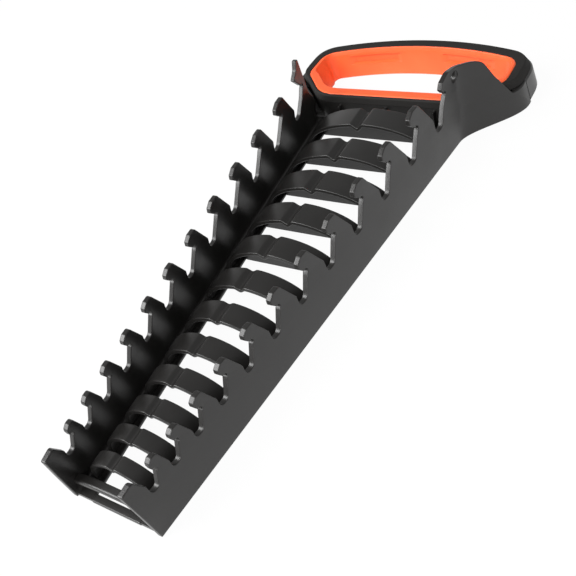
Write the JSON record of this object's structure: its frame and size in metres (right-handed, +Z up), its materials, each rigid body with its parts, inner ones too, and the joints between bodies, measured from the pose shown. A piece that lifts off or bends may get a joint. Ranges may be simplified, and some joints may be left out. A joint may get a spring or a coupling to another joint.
{
  "type": "spanner organiser rack with carrying handle",
  "caption": "Tapered black plastic tray with barbed side walls that hold spanners crosswise, arched leaves across its floor, and a closed carrying loop with an orange liner.",
  "frame": {"origin": "bottom centre of the bounding box, on the surface that the rack lies on", "axes": "+Y along the rack from its narrow end to its handle, +Z up, +X across it to the side whose rear ear has the hang hole"},
  "size_m": [0.139, 0.3197, 0.0465],
  "materials": {
    "left_side_rail": "black moulded plastic, satin",
    "right_side_rail": "black moulded plastic, satin",
    "leaf_01": "black moulded plastic, satin",
    "leaf_02": "black moulded plastic, satin",
    "leaf_03": "black moulded plastic, satin",
    "leaf_04": "black moulded plastic, satin",
    "leaf_05": "black moulded plastic, satin",
    "leaf_06": "black moulded plastic, satin",
    "leaf_07": "black moulded plastic, satin",
    "leaf_08": "black moulded plastic, satin",
    "leaf_09": "black moulded plastic, satin",
    "leaf_10": "black moulded plastic, satin",
    "leaf_11": "black moulded plastic, satin",
    "leaf_12": "black moulded plastic, satin",
    "end_leaf": "black moulded plastic, satin",
    "end_bar": "black moulded plastic, satin",
    "handle_bridge": "black moulded plastic, satin",
    "handle_frame": "black moulded plastic, satin",
    "handle_soft_grip": "black soft-touch rubber, matt",
    "grip_liner": "orange soft-touch rubber, satin"
  },
  "bodies": {
    "root": {"left_side_rail": "left_side_rail", "right_side_rail": "right_side_rail", "leaf_01": "leaf_01", "leaf_02": "leaf_02", "leaf_03": "leaf_03", "leaf_04": "leaf_04", "leaf_05": "leaf_05", "leaf_06": "leaf_06", "leaf_07": "leaf_07", "leaf_08": "leaf_08", "leaf_09": "leaf_09", "leaf_10": "leaf_10", "leaf_11": "leaf_11", "leaf_12": "leaf_12", "end_leaf": "end_leaf", "end_bar": "end_bar", "handle_bridge": "handle_bridge", "handle_frame": "handle_frame", "handle_soft_grip": "handle_soft_grip", "grip_liner": "grip_liner"}
  },
  "joints": []
}
